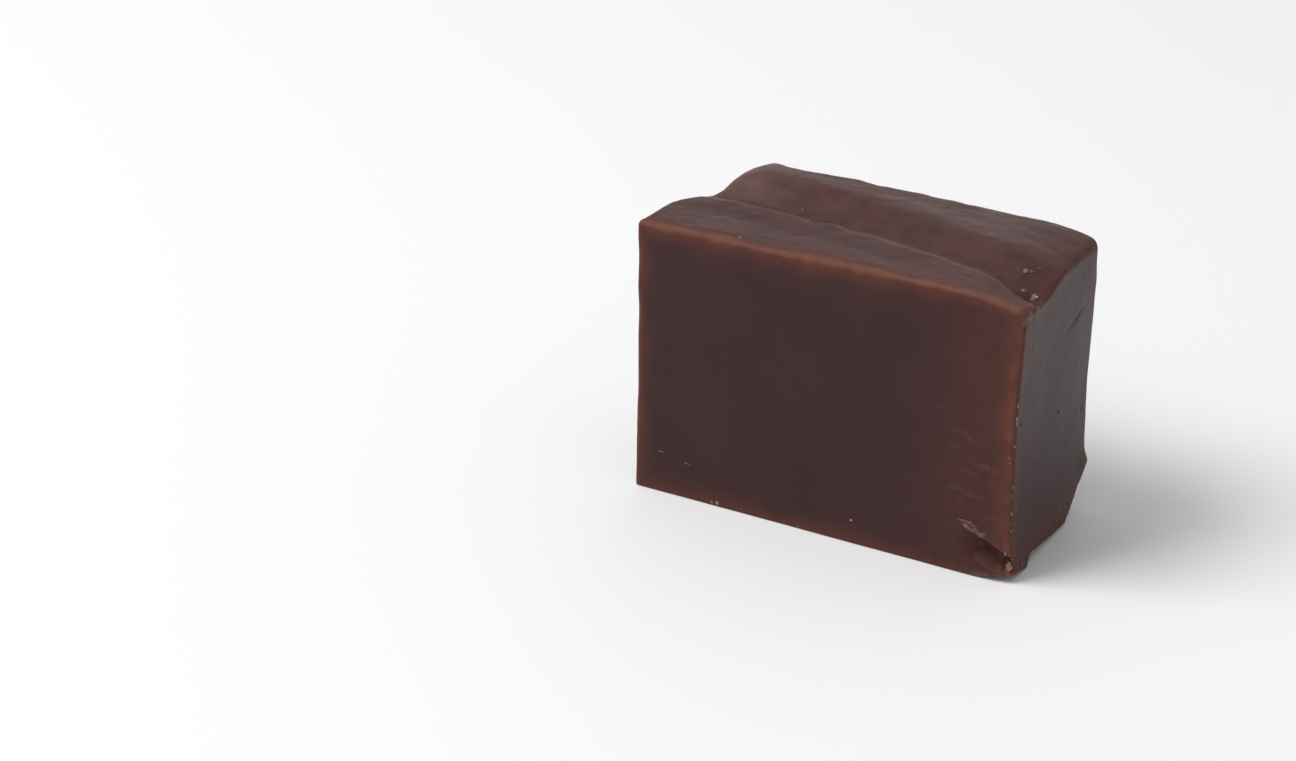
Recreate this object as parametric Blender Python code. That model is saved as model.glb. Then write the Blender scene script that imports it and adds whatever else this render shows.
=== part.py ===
"""One bite-size piece of chocolate fudge, cut from a slab and standing on a cut side.

X runs along the piece, Y from its broad front to its back, Z up. The origin is in the middle of the base.
The shape functions work in millimetres, and each takes a point of the plain block to its place on the fudge.
"""

import math

import bmesh
import bpy
from mathutils import Vector, noise

MM = 0.001

# The block as cut.
LENGTH = 32.5
DEPTH = 14.8
HEIGHT = 22.85
HALF = LENGTH / 2
FRONT = -DEPTH / 2

# The grid of quads on the block. Its lines crowd towards the edges. One of them follows the step in the top,
# and all of them are straight at the base.
CELLS = (36, 26, 24)
LEDGE_CELLS = 11
CROWDING = 0.6

# Edges: a knife leaves them tight, and the back of the top is a soft poured shoulder. The front corner at the
# right end of the top is worn round.
KNIFE_RADIUS = 0.5
FOOT_RADIUS = 0.18
SHOULDER_RADIUS = 1.75
CORNER_RADIUS = 0.7
FRONT_CORNER_RADIUS = 0.85
FRONT_CORNER_REACH = 2.4
WORN_SHARE = 0.35
WORN_PITCH = 2.2

# Where the soft edges and the worn foot begin, as shares of the block.
BACK_FROM = 0.7
TOP_FROM = 0.7
RIGHT_FROM = 0.8
FOOT_FROM = 0.3

# The top: a low ledge along the front, then a groove, then a crown that climbs towards the back. All of it dips
# beside the front of the right end.
LEDGE_LEFT = 7.5
LEDGE_RIGHT = 1.95
LEDGE_TAPER = 2.2
RAGGED_AT = -2.6
RAGGED_SIZE = 0.3
RAGGED_PITCH = 4.0
RAGGED_REACH = 6.0
LIP_HEIGHT = 0.16
LIP_FROM = 3.4
LIP_TO = 0.6
GROOVE_WIDTH = 1.2
GROOVE_OFFSET = 0.7
GROOVE_LEFT = 0.14
GROOVE_RIGHT = 0.1
GROOVE_FADE = 2.0
CROWN_LEFT = 1.48
CROWN_RIGHT = 1.06
CROWN_OFFSET = 0.3
CROWN_CLIMB = 4.2
CROWN_DROOP_LEFT = 1.15
CROWN_DROOP_RIGHT = 1.18
DROOP_FROM_LEFT = 3.2
DROOP_FROM_RIGHT = 6.2
END_DIP = 1.1
END_DIP_AT = 2.6
END_DIP_WIDTH = 5.5
END_DIP_REACH = 5.0
TOP_RELIEF_REACH = 5.0

# The two ends. The right one leans out at the foot of its back edge.
LEFT_SETBACK = 2.35
LEFT_TURN_FROM = 4.5
LEFT_TURN_TO = 9.6
RIGHT_HOLLOW_FRONT = 0.47
RIGHT_HOLLOW_BACK = 0.29
RIGHT_LEAN = 0.017
RIGHT_FLARE = 0.0027
RIGHT_WAIST = 14.0

# The broken corners: a point on each flat break, the way it faces and how far back it begins. Then how softly
# a break begins, and how rough it is above the base.
BREAKS = (
    ((HALF, FRONT + 11.66, 0.58), (0.36, 0.69, -0.69), FRONT - 1.0),
    ((HALF, FRONT + 6.2, 0.75), (0.32, -0.09, -0.88), FRONT + 3.8),
    ((HALF, FRONT + 0.4, 0.76), (0.26, -0.24, -0.93), FRONT - 1.0),
    ((-HALF + 0.5, -FRONT - 0.5, 0.9), (-0.5, 0.5, -0.7), FRONT - 1.0),
)
BREAK_FADE = 0.4
BREAK_ROUGHNESS = 0.16
BREAK_PITCH = 1.1
BREAK_SMOOTH_BELOW = 1.2

# The scoop torn out of the front, low on the right. It is sheer under its rim, which falls from a point
# towards the end. Below that it has a floor, and then it runs out softly. It is shallower at the end itself.
SCOOP_START_X = 12.2
SCOOP_START_Z = 4.1
SCOOP_FALL = math.radians(23.5)
SCOOP_GROWTH = 2.8
SCOOP_CLIFF = 0.3
SCOOP_FLOOR = 1.0
SCOOP_SPREAD = 2.3
SCOOP_DEPTH = 1.5
SCOOP_END_SHARE = 0.35
SCOOP_END_FROM = 0.9
SCOOP_REACH = 3.0

# The knot of fudge that was dragged out at the back of the right end, and the way it was dragged.
KNOT_AT = (HALF, -FRONT - 0.3, 3.86)
KNOT_DRAG = (0.15, 1.0, 0.0)
KNOT_SIZE = 0.56
KNOT_REACH = 1.8

# What would hang less than this over the base lies flat on it.
BASE_PRESS = 0.04

# The slow unevenness of every face: its size and pitch, and where in the noise each axis takes its share. The
# base stays flat and its outline straight, and the swell grows in over this height.
SWELL_SIZE = 0.14
SWELL_PITCH = 8.0
SWELL_OFFSETS = ((0.0, 0.0, 0.0), (31.7, 11.3, 5.9), (7.1, 43.9, 19.3))
SWELL_FROM = 0.5
SWELL_TO = 4.0


def smooth_step(start, end, value):
    """0 before start, 1 after end, and a smooth climb between them."""
    share = min(1.0, max(0.0, (value - start) / (end - start)))
    return share * share * (3 - 2 * share)


def hump(centre, width, value):
    """A smooth hump of height 1 at centre, which is gone a width away from it."""
    return 1 - smooth_step(0, width, abs(value - centre))


def crowd(share):
    """Moves an even share along an edge towards the nearer end."""
    return share - CROWDING * math.sin(2 * math.pi * share) / (2 * math.pi)


def plain_block():
    """The cut block as a closed grid of quads, with its base at Z 0."""
    block = bmesh.new()
    bmesh.ops.create_cube(block, size=1.0)
    for axis, cells in enumerate(CELLS):
        along = [
            edge
            for edge in block.edges
            if abs(edge.verts[0].co[axis] - edge.verts[1].co[axis]) > 0.5
        ]
        bmesh.ops.subdivide_edges(
            block, edges=along, cuts=cells - 1, use_grid_fill=True
        )
    for vertex in block.verts:
        across, back, up = (share + 0.5 for share in vertex.co)
        x = crowd(across) * LENGTH - HALF
        up = crowd(up)
        vertex.co = (x, FRONT + grid_depth(x, back, up), up * HEIGHT)
    return block


def edge_radius(point):
    """How round the edges are near a point: tight at the knife cuts, soft along the back of the top."""
    at_back = smooth_step(FRONT + DEPTH * BACK_FROM, -FRONT, point.y)
    at_top = smooth_step(HEIGHT * TOP_FROM, HEIGHT, point.z)
    at_right = smooth_step(LENGTH * RIGHT_FROM - HALF, HALF, point.x)
    at_foot = smooth_step(HEIGHT * FOOT_FROM, 0.0, point.z)
    shoulder = SHOULDER_RADIUS + (CORNER_RADIUS - SHOULDER_RADIUS) * at_right
    radius = KNIFE_RADIUS + (FOOT_RADIUS - KNIFE_RADIUS) * at_foot
    radius += (shoulder - KNIFE_RADIUS) * at_back * at_top
    to_corner = (Vector((HALF, FRONT, HEIGHT)) - point).length
    radius += (FRONT_CORNER_RADIUS - KNIFE_RADIUS) * smooth_step(FRONT_CORNER_REACH, 0, to_corner)
    worn = WORN_SHARE * (1 - at_foot)
    return radius * (1 + worn * noise.noise(point / WORN_PITCH))


def rounded(point):
    """The point drawn in to a block whose edges and corners are round."""
    radius = edge_radius(point)
    inner = Vector(
        (
            max(-HALF + radius, min(HALF - radius, point.x)),
            max(FRONT + radius, min(-FRONT - radius, point.y)),
            max(radius, min(HEIGHT - radius, point.z)),
        )
    )
    return inner + (point - inner).normalized() * radius


def step_line(x):
    """How far back the step in the top lies: over half the depth on the left, tapering away to the right."""
    share = (x + HALF) / LENGTH
    taper = max(0.0, share) ** LEDGE_TAPER
    return LEDGE_LEFT + (LEDGE_RIGHT - LEDGE_LEFT) * taper


def ledge_width(x):
    """How far back the ledge reaches: to the step, but with a ragged edge near the middle."""
    wave = math.cos(2 * math.pi * (x - RAGGED_AT) / RAGGED_PITCH)
    return step_line(x) + RAGGED_SIZE * wave * hump(RAGGED_AT, RAGGED_REACH, x)


def grid_depth(x, share, up):
    """How far behind the front a grid line lies. The ledge has its own lines, and the crown the rest."""
    split = LEDGE_CELLS / CELLS[1]
    straight = DEPTH * split
    border = straight + (ledge_width(x) - straight) * up
    if share <= split:
        return border * crowd(share / split)
    return border + (DEPTH - border) * crowd((share - split) / (1 - split))


def crown_height(x):
    """How far the crown stands over the ledge, drooping at both ends."""
    share = (x + HALF) / LENGTH
    height = CROWN_LEFT + (CROWN_RIGHT - CROWN_LEFT) * share
    height -= CROWN_DROOP_LEFT * max(0.0, 1 - (x + HALF) / DROOP_FROM_LEFT) ** 2
    return height - CROWN_DROOP_RIGHT * max(0.0, 1 - (HALF - x) / DROOP_FROM_RIGHT) ** 2


def top_relief(x, behind_front):
    """The height of the ledge's lip, the groove, the crown and the dip at the right end over the plain top."""
    border = ledge_width(x)
    share = (x + HALF) / LENGTH
    lip = LIP_HEIGHT * smooth_step(border - LIP_FROM, border, behind_front)
    lip *= smooth_step(border + LIP_TO, border, behind_front) * smooth_step(-HALF, -HALF + LIP_FROM, x)
    depth = GROOVE_LEFT + (GROOVE_RIGHT - GROOVE_LEFT) * share**2
    depth *= smooth_step(HALF, HALF - GROOVE_FADE, x)
    groove = depth * hump(border + GROOVE_OFFSET, GROOVE_WIDTH, behind_front)
    crown_start = step_line(x) + CROWN_OFFSET
    climb = smooth_step(crown_start, crown_start + CROWN_CLIMB, behind_front)
    dip = END_DIP * hump(END_DIP_AT, END_DIP_WIDTH, behind_front) * smooth_step(HALF - END_DIP_REACH, HALF, x)
    return lip - groove + crown_height(x) * climb - dip


def raised(point):
    """The point lifted by the relief of the top, less and less on the way down the sides."""
    share = smooth_step(HEIGHT - TOP_RELIEF_REACH, HEIGHT, point.z)
    point.z += top_relief(point.x, point.y - FRONT) * share
    return point


def ends_shaped(point):
    """The left end steps in behind the ledge. The right end is hollow, bows in front and leans behind."""
    turn = smooth_step(LEFT_TURN_FROM, LEFT_TURN_TO, point.y - FRONT)
    near_left = smooth_step(0.0, -HALF, point.x)
    point.x += LEFT_SETBACK * turn * near_left
    near_right = smooth_step(0.0, HALF, point.x)
    at_back = smooth_step(FRONT, -FRONT, point.y)
    front = RIGHT_FLARE * (point.z - RIGHT_WAIST) ** 2 - RIGHT_HOLLOW_FRONT
    back = RIGHT_LEAN * (RIGHT_WAIST - point.z) - RIGHT_HOLLOW_BACK
    point.x += (front + (back - front) * at_back) * near_right
    return point


def scooped(point):
    """The front pushed in below the torn rim, deepest right under it."""
    across = point.x - SCOOP_START_X
    down = SCOOP_START_Z - point.z
    along = across * math.cos(SCOOP_FALL) + down * math.sin(SCOOP_FALL)
    below = down * math.cos(SCOOP_FALL) - across * math.sin(SCOOP_FALL)
    share = smooth_step(0, SCOOP_GROWTH, along)
    share *= smooth_step(0, SCOOP_CLIFF, below) * smooth_step(SCOOP_SPREAD, SCOOP_FLOOR, below)
    share *= smooth_step(FRONT + SCOOP_REACH, FRONT, point.y)
    share *= 1 - (1 - SCOOP_END_SHARE) * smooth_step(HALF - SCOOP_END_FROM, HALF, point.x)
    point.y += SCOOP_DEPTH * share
    return point


def broken(point):
    """The point brought back to the flat of each broken corner that it stands outside of."""
    for place, facing, begins in BREAKS:
        normal = Vector(facing).normalized()
        rough = BREAK_ROUGHNESS * smooth_step(0, BREAK_SMOOTH_BELOW, point.z)
        rough *= noise.noise(point / BREAK_PITCH)
        outside = normal.dot(point - Vector(place)) + rough
        outside *= smooth_step(begins - BREAK_FADE, begins + BREAK_FADE, point.y)
        if outside > 0:
            point = point - normal * outside
    return point


def knotted(point):
    """The small knot of dragged fudge at the foot of the right end's back edge."""
    offset = point - Vector(KNOT_AT)
    share = hump(0, KNOT_REACH, offset.length)
    return point + Vector(KNOT_DRAG) * KNOT_SIZE * share


def swollen(point):
    """The point moved by the slow swell of the faces."""
    place = point / SWELL_PITCH
    swell = Vector([noise.noise(place + Vector(offset)) for offset in SWELL_OFFSETS])
    return point + swell * SWELL_SIZE * smooth_step(SWELL_FROM, SWELL_TO, point.z)


def settled(point):
    """The point pressed down to the base if it is all but on it."""
    if point.z < BASE_PRESS:
        point.z = 0.0
    return point


def fudge_point(point):
    """A point of the plain block, taken through each step of the shaping."""
    shaped = ends_shaped(raised(rounded(point)))
    return settled(broken(swollen(knotted(scooped(shaped)))))


def chocolate():
    """Dark chocolate fudge: smooth, waxy and faintly glossy."""
    material = bpy.data.materials.new("chocolate_fudge")
    material.use_nodes = True
    surface = material.node_tree.nodes["Principled BSDF"]
    surface.inputs["Base Color"].default_value = (0.055, 0.028, 0.026, 1.0)
    surface.inputs["Roughness"].default_value = 0.45
    surface.inputs["Metallic"].default_value = 0.0
    return material


def clear_scene():
    for old in list(bpy.data.objects):
        bpy.data.objects.remove(old)


def build_piece():
    """The piece of fudge as one object in a collection of its own."""
    block = plain_block()
    for vertex in block.verts:
        vertex.co = fudge_point(vertex.co.copy())
    middle = [
        (min(v.co[axis] for v in block.verts) + max(v.co[axis] for v in block.verts)) / 2
        for axis in range(2)
    ]
    for vertex in block.verts:
        vertex.co.x -= middle[0]
        vertex.co.y -= middle[1]
        vertex.co *= MM
    bmesh.ops.triangulate(block, faces=block.faces)
    mesh = bpy.data.meshes.new("fudge_piece")
    block.to_mesh(mesh)
    block.free()
    mesh.shade_smooth()
    mesh.set_sharp_from_angle(angle=math.radians(40))
    mesh.materials.append(chocolate())
    piece = bpy.data.objects.new("fudge_piece", mesh)
    family = bpy.data.collections.new("chocolate_fudge")
    bpy.context.scene.collection.children.link(family)
    family.objects.link(piece)
    return piece


clear_scene()
build_piece()
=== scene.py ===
# %% [markdown]
# # A piece of chocolate fudge
#
# This lesson dresses one bite-size piece of chocolate fudge. A plain solid of it is already packed as the
# frame, and gives the size and the place of everything. The lesson replaces it with a fine mesh that has
# the drag marks, broken corners and crumbs of a real piece, and gives it a surface made of nodes.

# %% Load the frame
import math
import random

import bmesh
import bpy
from mathutils import Matrix, Vector, noise
from mathutils.bvhtree import BVHTree


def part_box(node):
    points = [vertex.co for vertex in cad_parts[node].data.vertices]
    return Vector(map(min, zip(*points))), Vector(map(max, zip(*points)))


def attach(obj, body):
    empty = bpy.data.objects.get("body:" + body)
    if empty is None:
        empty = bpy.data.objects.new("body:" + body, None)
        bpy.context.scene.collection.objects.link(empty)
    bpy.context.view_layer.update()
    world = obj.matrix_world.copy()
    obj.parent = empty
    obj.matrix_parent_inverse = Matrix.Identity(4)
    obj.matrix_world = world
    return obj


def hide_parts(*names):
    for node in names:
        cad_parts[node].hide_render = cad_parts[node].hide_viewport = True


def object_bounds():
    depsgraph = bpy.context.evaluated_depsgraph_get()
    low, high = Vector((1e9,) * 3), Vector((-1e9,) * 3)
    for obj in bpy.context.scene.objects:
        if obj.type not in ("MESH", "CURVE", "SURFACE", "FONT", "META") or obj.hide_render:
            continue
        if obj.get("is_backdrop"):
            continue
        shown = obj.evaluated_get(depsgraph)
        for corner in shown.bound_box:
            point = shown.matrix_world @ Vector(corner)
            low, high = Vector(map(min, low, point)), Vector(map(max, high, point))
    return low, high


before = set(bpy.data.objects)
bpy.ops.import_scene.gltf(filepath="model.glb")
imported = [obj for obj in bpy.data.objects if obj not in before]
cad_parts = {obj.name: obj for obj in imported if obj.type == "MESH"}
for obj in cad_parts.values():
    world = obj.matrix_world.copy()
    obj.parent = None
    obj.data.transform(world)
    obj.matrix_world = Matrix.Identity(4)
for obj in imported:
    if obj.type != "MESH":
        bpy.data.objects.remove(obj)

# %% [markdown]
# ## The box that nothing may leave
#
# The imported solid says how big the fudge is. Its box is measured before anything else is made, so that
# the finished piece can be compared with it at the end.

SOLID = "fudge_piece"
BODY = "root"
MM = 0.001

solid_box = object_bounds()
low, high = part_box(SOLID)
print("solid, mm:", [round((b - a) / MM, 2) for a, b in zip(low, high)])

# %% [markdown]
# ## Sizes of the cut block
#
# Fudge is poured into a tray, left to set, and cut with a long knife. What leaves the knife is a plain
# block. Its poured face is the top, which was scraped level before it had set, and the other faces are
# knife cuts. All the sizes here are millimetres, and one number at the end turns them into metres.

# %% The block's sizes
LENGTH = 32.5
DEPTH = 14.8
HEIGHT = 22.85
HALF = LENGTH / 2
FRONT = -DEPTH / 2

# The grid of quads on the fine block, how many of its rows belong to the ledge, and how strongly the
# lines crowd to the edges.
CELLS = (160, 86, 126)
LEDGE_CELLS = 34
CROWDING = 0.45
# How much closer the lines across the piece lie at its right end, where most of the detail is.
SKEW = 0.25

# %% [markdown]
# ## Four small helpers
#
# Soft things have no sudden starts. A smooth step goes from 0 to 1 without a corner, and a hump is two of
# them back to back. Between blends two values. Crowd moves an even row of grid lines towards the ends of
# the row, where the edges need them.

# %% Curves used everywhere
def smooth_step(start, end, value):
    """0 before start, 1 after end, and a smooth climb between them."""
    share = min(1.0, max(0.0, (value - start) / (end - start)))
    return share * share * (3 - 2 * share)


def hump(centre, width, value):
    """A smooth hump of height 1 at centre, which is gone a width away from it."""
    return 1 - smooth_step(0, width, abs(value - centre))


def between(first, last, share):
    """The value that lies this share of the way from first to last."""
    return first + (last - first) * share


def crowd(share):
    """Moves an even share along an edge towards the nearer end."""
    return share - CROWDING * math.sin(2 * math.pi * share) / (2 * math.pi)


# %% [markdown]
# ## The step in the top
#
# Along the front of the top runs a low ledge, where a scraper pressed the fudge down. Behind it the fudge
# rises to a broad crown. The border between them starts more than half way back and swings to the front on
# the right. The rows of the grid follow it, so the groove beside it stays crisp. With straight rows it
# would come out as a row of teeth.

# %% The ledge's border and the grid that follows it
LEDGE_LEFT = 7.5
LEDGE_RIGHT = 1.95
LEDGE_TAPER = 2.2
RAGGED_AT = -2.6
RAGGED_SIZE = 0.3
RAGGED_PITCH = 4.0
RAGGED_REACH = 6.0


def step_line(x):
    """How far behind the front the step in the top lies."""
    share = (x + HALF) / LENGTH
    taper = max(0.0, share) ** LEDGE_TAPER
    return between(LEDGE_LEFT, LEDGE_RIGHT, taper)


def ledge_width(x):
    """How far back the ledge reaches, with its ragged edge near the middle."""
    wave = math.cos(2 * math.pi * (x - RAGGED_AT) / RAGGED_PITCH)
    return step_line(x) + RAGGED_SIZE * wave * hump(RAGGED_AT, RAGGED_REACH, x)


def behind_step(place):
    """How far a point lies behind the step, below zero on the ledge."""
    return place.y - FRONT - ledge_width(place.x)


def grid_depth(x, share, up):
    """How far behind the front a line of the grid lies, on the ledge or on the crown."""
    split = LEDGE_CELLS / CELLS[1]
    straight = DEPTH * split
    border = between(straight, ledge_width(x), up)
    if share <= split:
        return border * crowd(share / split)
    return between(border, DEPTH, crowd((share - split) / (1 - split)))


# %% [markdown]
# ## The block as a grid
#
# A cube primitive is cut along one axis after the other. With grid fill on, the new lines run right round
# the cube, so the result is one closed skin of quads. Voxels or a Boolean would lose the tidy rows that the
# step and the edges are made with.

# %% Cut a cube into a grid
def reach_of(edge, axis):
    """How far an edge reaches along one axis."""
    first, last = edge.verts
    return abs(first.co[axis] - last.co[axis])


def plain_block():
    """The cut block as a closed grid of quads, with its base at Z 0."""
    block = bmesh.new()
    bmesh.ops.create_cube(block, size=1.0)
    for axis, cells in enumerate(CELLS):
        along = [edge for edge in block.edges if reach_of(edge, axis) > 0.5]
        bmesh.ops.subdivide_edges(block, edges=along, cuts=cells - 1, use_grid_fill=True)
    for vertex in block.verts:
        across, back, up = (share + 0.5 for share in vertex.co)
        across += SKEW * across * (1 - across)
        x = crowd(across) * LENGTH - HALF
        up = crowd(up)
        vertex.co = (x, FRONT + grid_depth(x, back, up), up * HEIGHT)
    return block


block = plain_block()
print("block:", len(block.verts), "points,", 2 * len(block.faces), "triangles")

# %% [markdown]
# ## Knife edges and a poured shoulder
#
# A knife leaves an edge that is tight but never sharp, and wears it unevenly. Only the back of the top is
# soft, because it was poured against the side of the tray. A point is pulled towards an inner block and
# set down again one radius away from it. Unlike a Bevel, that lets the radius change along an edge.

# %% Round the edges
KNIFE_RADIUS = 0.5
FOOT_RADIUS = 0.18
SHOULDER_RADIUS = 1.75
CORNER_RADIUS = 0.7
FRONT_CORNER_RADIUS = 0.85
FRONT_CORNER_REACH = 2.4
WORN_SHARE = 0.35
WORN_PITCH = 2.2
BACK_FROM = 0.7
TOP_FROM = 0.7
RIGHT_FROM = 0.8
FOOT_FROM = 0.3


def edge_radius(point):
    """How round the edges are near a point."""
    at_back = smooth_step(FRONT + DEPTH * BACK_FROM, -FRONT, point.y)
    at_top = smooth_step(HEIGHT * TOP_FROM, HEIGHT, point.z)
    at_right = smooth_step(LENGTH * RIGHT_FROM - HALF, HALF, point.x)
    at_foot = smooth_step(HEIGHT * FOOT_FROM, 0.0, point.z)
    shoulder = between(SHOULDER_RADIUS, CORNER_RADIUS, at_right)
    radius = between(KNIFE_RADIUS, FOOT_RADIUS, at_foot)
    radius += (shoulder - KNIFE_RADIUS) * at_back * at_top
    to_corner = (Vector((HALF, FRONT, HEIGHT)) - point).length
    radius += (FRONT_CORNER_RADIUS - KNIFE_RADIUS) * smooth_step(FRONT_CORNER_REACH, 0, to_corner)
    worn = WORN_SHARE * (1 - at_foot)
    return radius * (1 + worn * noise.noise(point / WORN_PITCH))


def rounded(point):
    """The point drawn in to a block whose edges and corners are round."""
    radius = edge_radius(point)
    sides = ((-HALF, HALF), (FRONT, -FRONT), (0.0, HEIGHT))
    inner = [max(near + radius, min(far - radius, value)) for value, (near, far) in zip(point, sides)]
    inner = Vector(inner)
    return inner + (point - inner).normalized() * radius


# %% [markdown]
# ## Ledge, groove and crown
#
# Seen from the end, the top goes flat, up a small lip, down into a groove, and then in one long soft climb
# to the crown, which droops at both ends. On the right the front half also dips, where the knife left the
# block. That section is a sum of humps and steps, and it dies away down the sides, so that the walls below
# stay straight.

# %% Raise the top
LIP_HEIGHT = 0.16
LIP_FROM = 3.4
LIP_TO = 0.6
GROOVE_WIDTH = 1.2
GROOVE_OFFSET = 0.7
GROOVE_LEFT = 0.14
GROOVE_RIGHT = 0.1
GROOVE_FADE = 2.0
CROWN_LEFT = 1.48
CROWN_RIGHT = 1.06
CROWN_OFFSET = 0.3
CROWN_CLIMB = 4.2
CROWN_DROOP_LEFT = 1.15
CROWN_DROOP_RIGHT = 1.18
DROOP_FROM_LEFT = 3.2
DROOP_FROM_RIGHT = 6.2
END_DIP = 1.1
END_DIP_AT = 2.6
END_DIP_WIDTH = 5.5
END_DIP_REACH = 5.0
TOP_RELIEF_REACH = 5.0


def crown_height(x):
    """How far the crown stands over the ledge, drooping at both ends."""
    share = (x + HALF) / LENGTH
    height = between(CROWN_LEFT, CROWN_RIGHT, share)
    height -= CROWN_DROOP_LEFT * max(0.0, 1 - (x + HALF) / DROOP_FROM_LEFT) ** 2
    return height - CROWN_DROOP_RIGHT * max(0.0, 1 - (HALF - x) / DROOP_FROM_RIGHT) ** 2


def top_relief(x, behind_front):
    """The height over the plain top: lip, groove, crown and the dip at the right end."""
    border = ledge_width(x)
    share = (x + HALF) / LENGTH
    lip = LIP_HEIGHT * smooth_step(border - LIP_FROM, border, behind_front)
    lip *= smooth_step(border + LIP_TO, border, behind_front) * smooth_step(-HALF, -HALF + LIP_FROM, x)
    depth = between(GROOVE_LEFT, GROOVE_RIGHT, share**2)
    depth *= smooth_step(HALF, HALF - GROOVE_FADE, x)
    groove = depth * hump(border + GROOVE_OFFSET, GROOVE_WIDTH, behind_front)
    crown_start = step_line(x) + CROWN_OFFSET
    climb = smooth_step(crown_start, crown_start + CROWN_CLIMB, behind_front)
    dip = END_DIP * hump(END_DIP_AT, END_DIP_WIDTH, behind_front)
    dip *= smooth_step(HALF - END_DIP_REACH, HALF, x)
    return lip - groove + crown_height(x) * climb - dip


def raised(point):
    """The point lifted by the relief of the top, less the lower it lies."""
    share = smooth_step(HEIGHT - TOP_RELIEF_REACH, HEIGHT, point.z)
    point.z += top_relief(point.x, point.y - FRONT) * share
    return point


# %% [markdown]
# ## The two ends
#
# The cuts across the slab were made by hand. The left one steps in behind the ledge, where the knife was
# turned. The right one is slightly hollow, bows a little along its front edge and leans out at the foot of
# its back edge. Each is a shift along X that fades out towards the middle, so the rows stay evenly spread.

# %% Shape the ends
LEFT_SETBACK = 2.35
LEFT_TURN_FROM = 4.5
LEFT_TURN_TO = 9.6
RIGHT_HOLLOW_FRONT = 0.47
RIGHT_HOLLOW_BACK = 0.29
RIGHT_LEAN = 0.017
RIGHT_FLARE = 0.0027
RIGHT_WAIST = 14.0


def ends_shaped(point):
    """The point moved along X by the shapes of the two ends."""
    turn = smooth_step(LEFT_TURN_FROM, LEFT_TURN_TO, point.y - FRONT)
    near_left = smooth_step(0.0, -HALF, point.x)
    point.x += LEFT_SETBACK * turn * near_left
    near_right = smooth_step(0.0, HALF, point.x)
    at_back = smooth_step(FRONT, -FRONT, point.y)
    front = RIGHT_FLARE * (point.z - RIGHT_WAIST) ** 2 - RIGHT_HOLLOW_FRONT
    back = RIGHT_LEAN * (RIGHT_WAIST - point.z) - RIGHT_HOLLOW_BACK
    point.x += between(front, back, at_back) * near_right
    return point


# %% [markdown]
# ## The scoop
#
# Low on the right a bit of fudge stuck to the knife and tore out. The tear is sheer under its upper rim and
# runs out softly below. A Boolean would cut it with one hard edge all round, so it is a push into the front
# instead, with a product of steps for its depth: how far along the rim, and how far below it.

# %% Push in the scoop
SCOOP_START_X = 12.2
SCOOP_START_Z = 4.1
SCOOP_FALL = math.radians(23.5)
SCOOP_GROWTH = 2.8
SCOOP_CLIFF = 0.3
SCOOP_FLOOR = 1.0
SCOOP_SPREAD = 2.3
SCOOP_DEPTH = 1.5
SCOOP_END_SHARE = 0.35
SCOOP_END_FROM = 0.9
SCOOP_REACH = 3.0


def scoop_rim(point):
    """How far a point is along the scoop's torn rim, and how far below it."""
    across = point.x - SCOOP_START_X
    down = SCOOP_START_Z - point.z
    along = across * math.cos(SCOOP_FALL) + down * math.sin(SCOOP_FALL)
    below = down * math.cos(SCOOP_FALL) - across * math.sin(SCOOP_FALL)
    return along, below


def scoop_share(point):
    """How deep the scoop is at a point of the front, from 0 to 1."""
    along, below = scoop_rim(point)
    share = smooth_step(0, SCOOP_GROWTH, along)
    share *= smooth_step(0, SCOOP_CLIFF, below) * smooth_step(SCOOP_SPREAD, SCOOP_FLOOR, below)
    share *= smooth_step(FRONT + SCOOP_REACH, FRONT, point.y)
    return share * (1 - (1 - SCOOP_END_SHARE) * smooth_step(HALF - SCOOP_END_FROM, HALF, point.x))


def scooped(point):
    """The front pushed in below the torn rim, deepest right under it."""
    point.y += SCOOP_DEPTH * scoop_share(point)
    return point


# %% [markdown]
# ## Broken corners and a dragged knot
#
# The corners of the foot have broken off, and fudge breaks in rough, nearly flat faces. So a break is a
# plane, and every point outside it is brought back to it, give or take some noise. At the foot of the back
# edge the knife left a small knot, which is a pull on the points round one place.

# %% Break the corners and pull out the knot
# For each break: a point of its plane, the way it faces, and how far back it begins.
BREAKS = (
    ((HALF, FRONT + 11.66, 0.58), (0.36, 0.69, -0.69), FRONT - 1.0),
    ((HALF, FRONT + 6.2, 0.75), (0.32, -0.09, -0.88), FRONT + 3.8),
    ((HALF, FRONT + 0.4, 0.76), (0.26, -0.24, -0.93), FRONT - 1.0),
    ((-HALF + 0.5, -FRONT - 0.5, 0.9), (-0.5, 0.5, -0.7), FRONT - 1.0),
)
BREAK_FADE = 0.4
BREAK_ROUGHNESS = 0.16
BREAK_PITCH = 1.1
BREAK_SMOOTH_BELOW = 1.2

KNOT_AT = (HALF, -FRONT - 0.3, 3.86)
KNOT_DRAG = (0.15, 1.0, 0.0)
KNOT_SIZE = 0.56
KNOT_REACH = 1.8


def broken(point):
    """The point brought back to the breaks that it stands outside of."""
    for place, facing, begins in BREAKS:
        normal = Vector(facing).normalized()
        rough = BREAK_ROUGHNESS * smooth_step(0, BREAK_SMOOTH_BELOW, point.z)
        rough *= noise.noise(point / BREAK_PITCH)
        outside = normal.dot(point - Vector(place)) + rough
        outside *= smooth_step(begins - BREAK_FADE, begins + BREAK_FADE, point.y)
        if outside > 0:
            point = point - normal * outside
    return point


def knotted(point):
    """The point pulled along by the knot at the foot of the back edge."""
    offset = point - Vector(KNOT_AT)
    share = hump(0, KNOT_REACH, offset.length)
    return point + Vector(KNOT_DRAG) * KNOT_SIZE * share


# %% [markdown]
# ## A slow swell
#
# Fudge is soft when it is cut, and no cut face stays quite flat. Noise moves the faces a tenth of a
# millimetre, which is enough to stop them looking machined. It is asked for each axis on its own, with an
# offset, so that the three are unlike each other. The ready vector noise of mathutils differs from run to
# run, so it isn't used.

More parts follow.
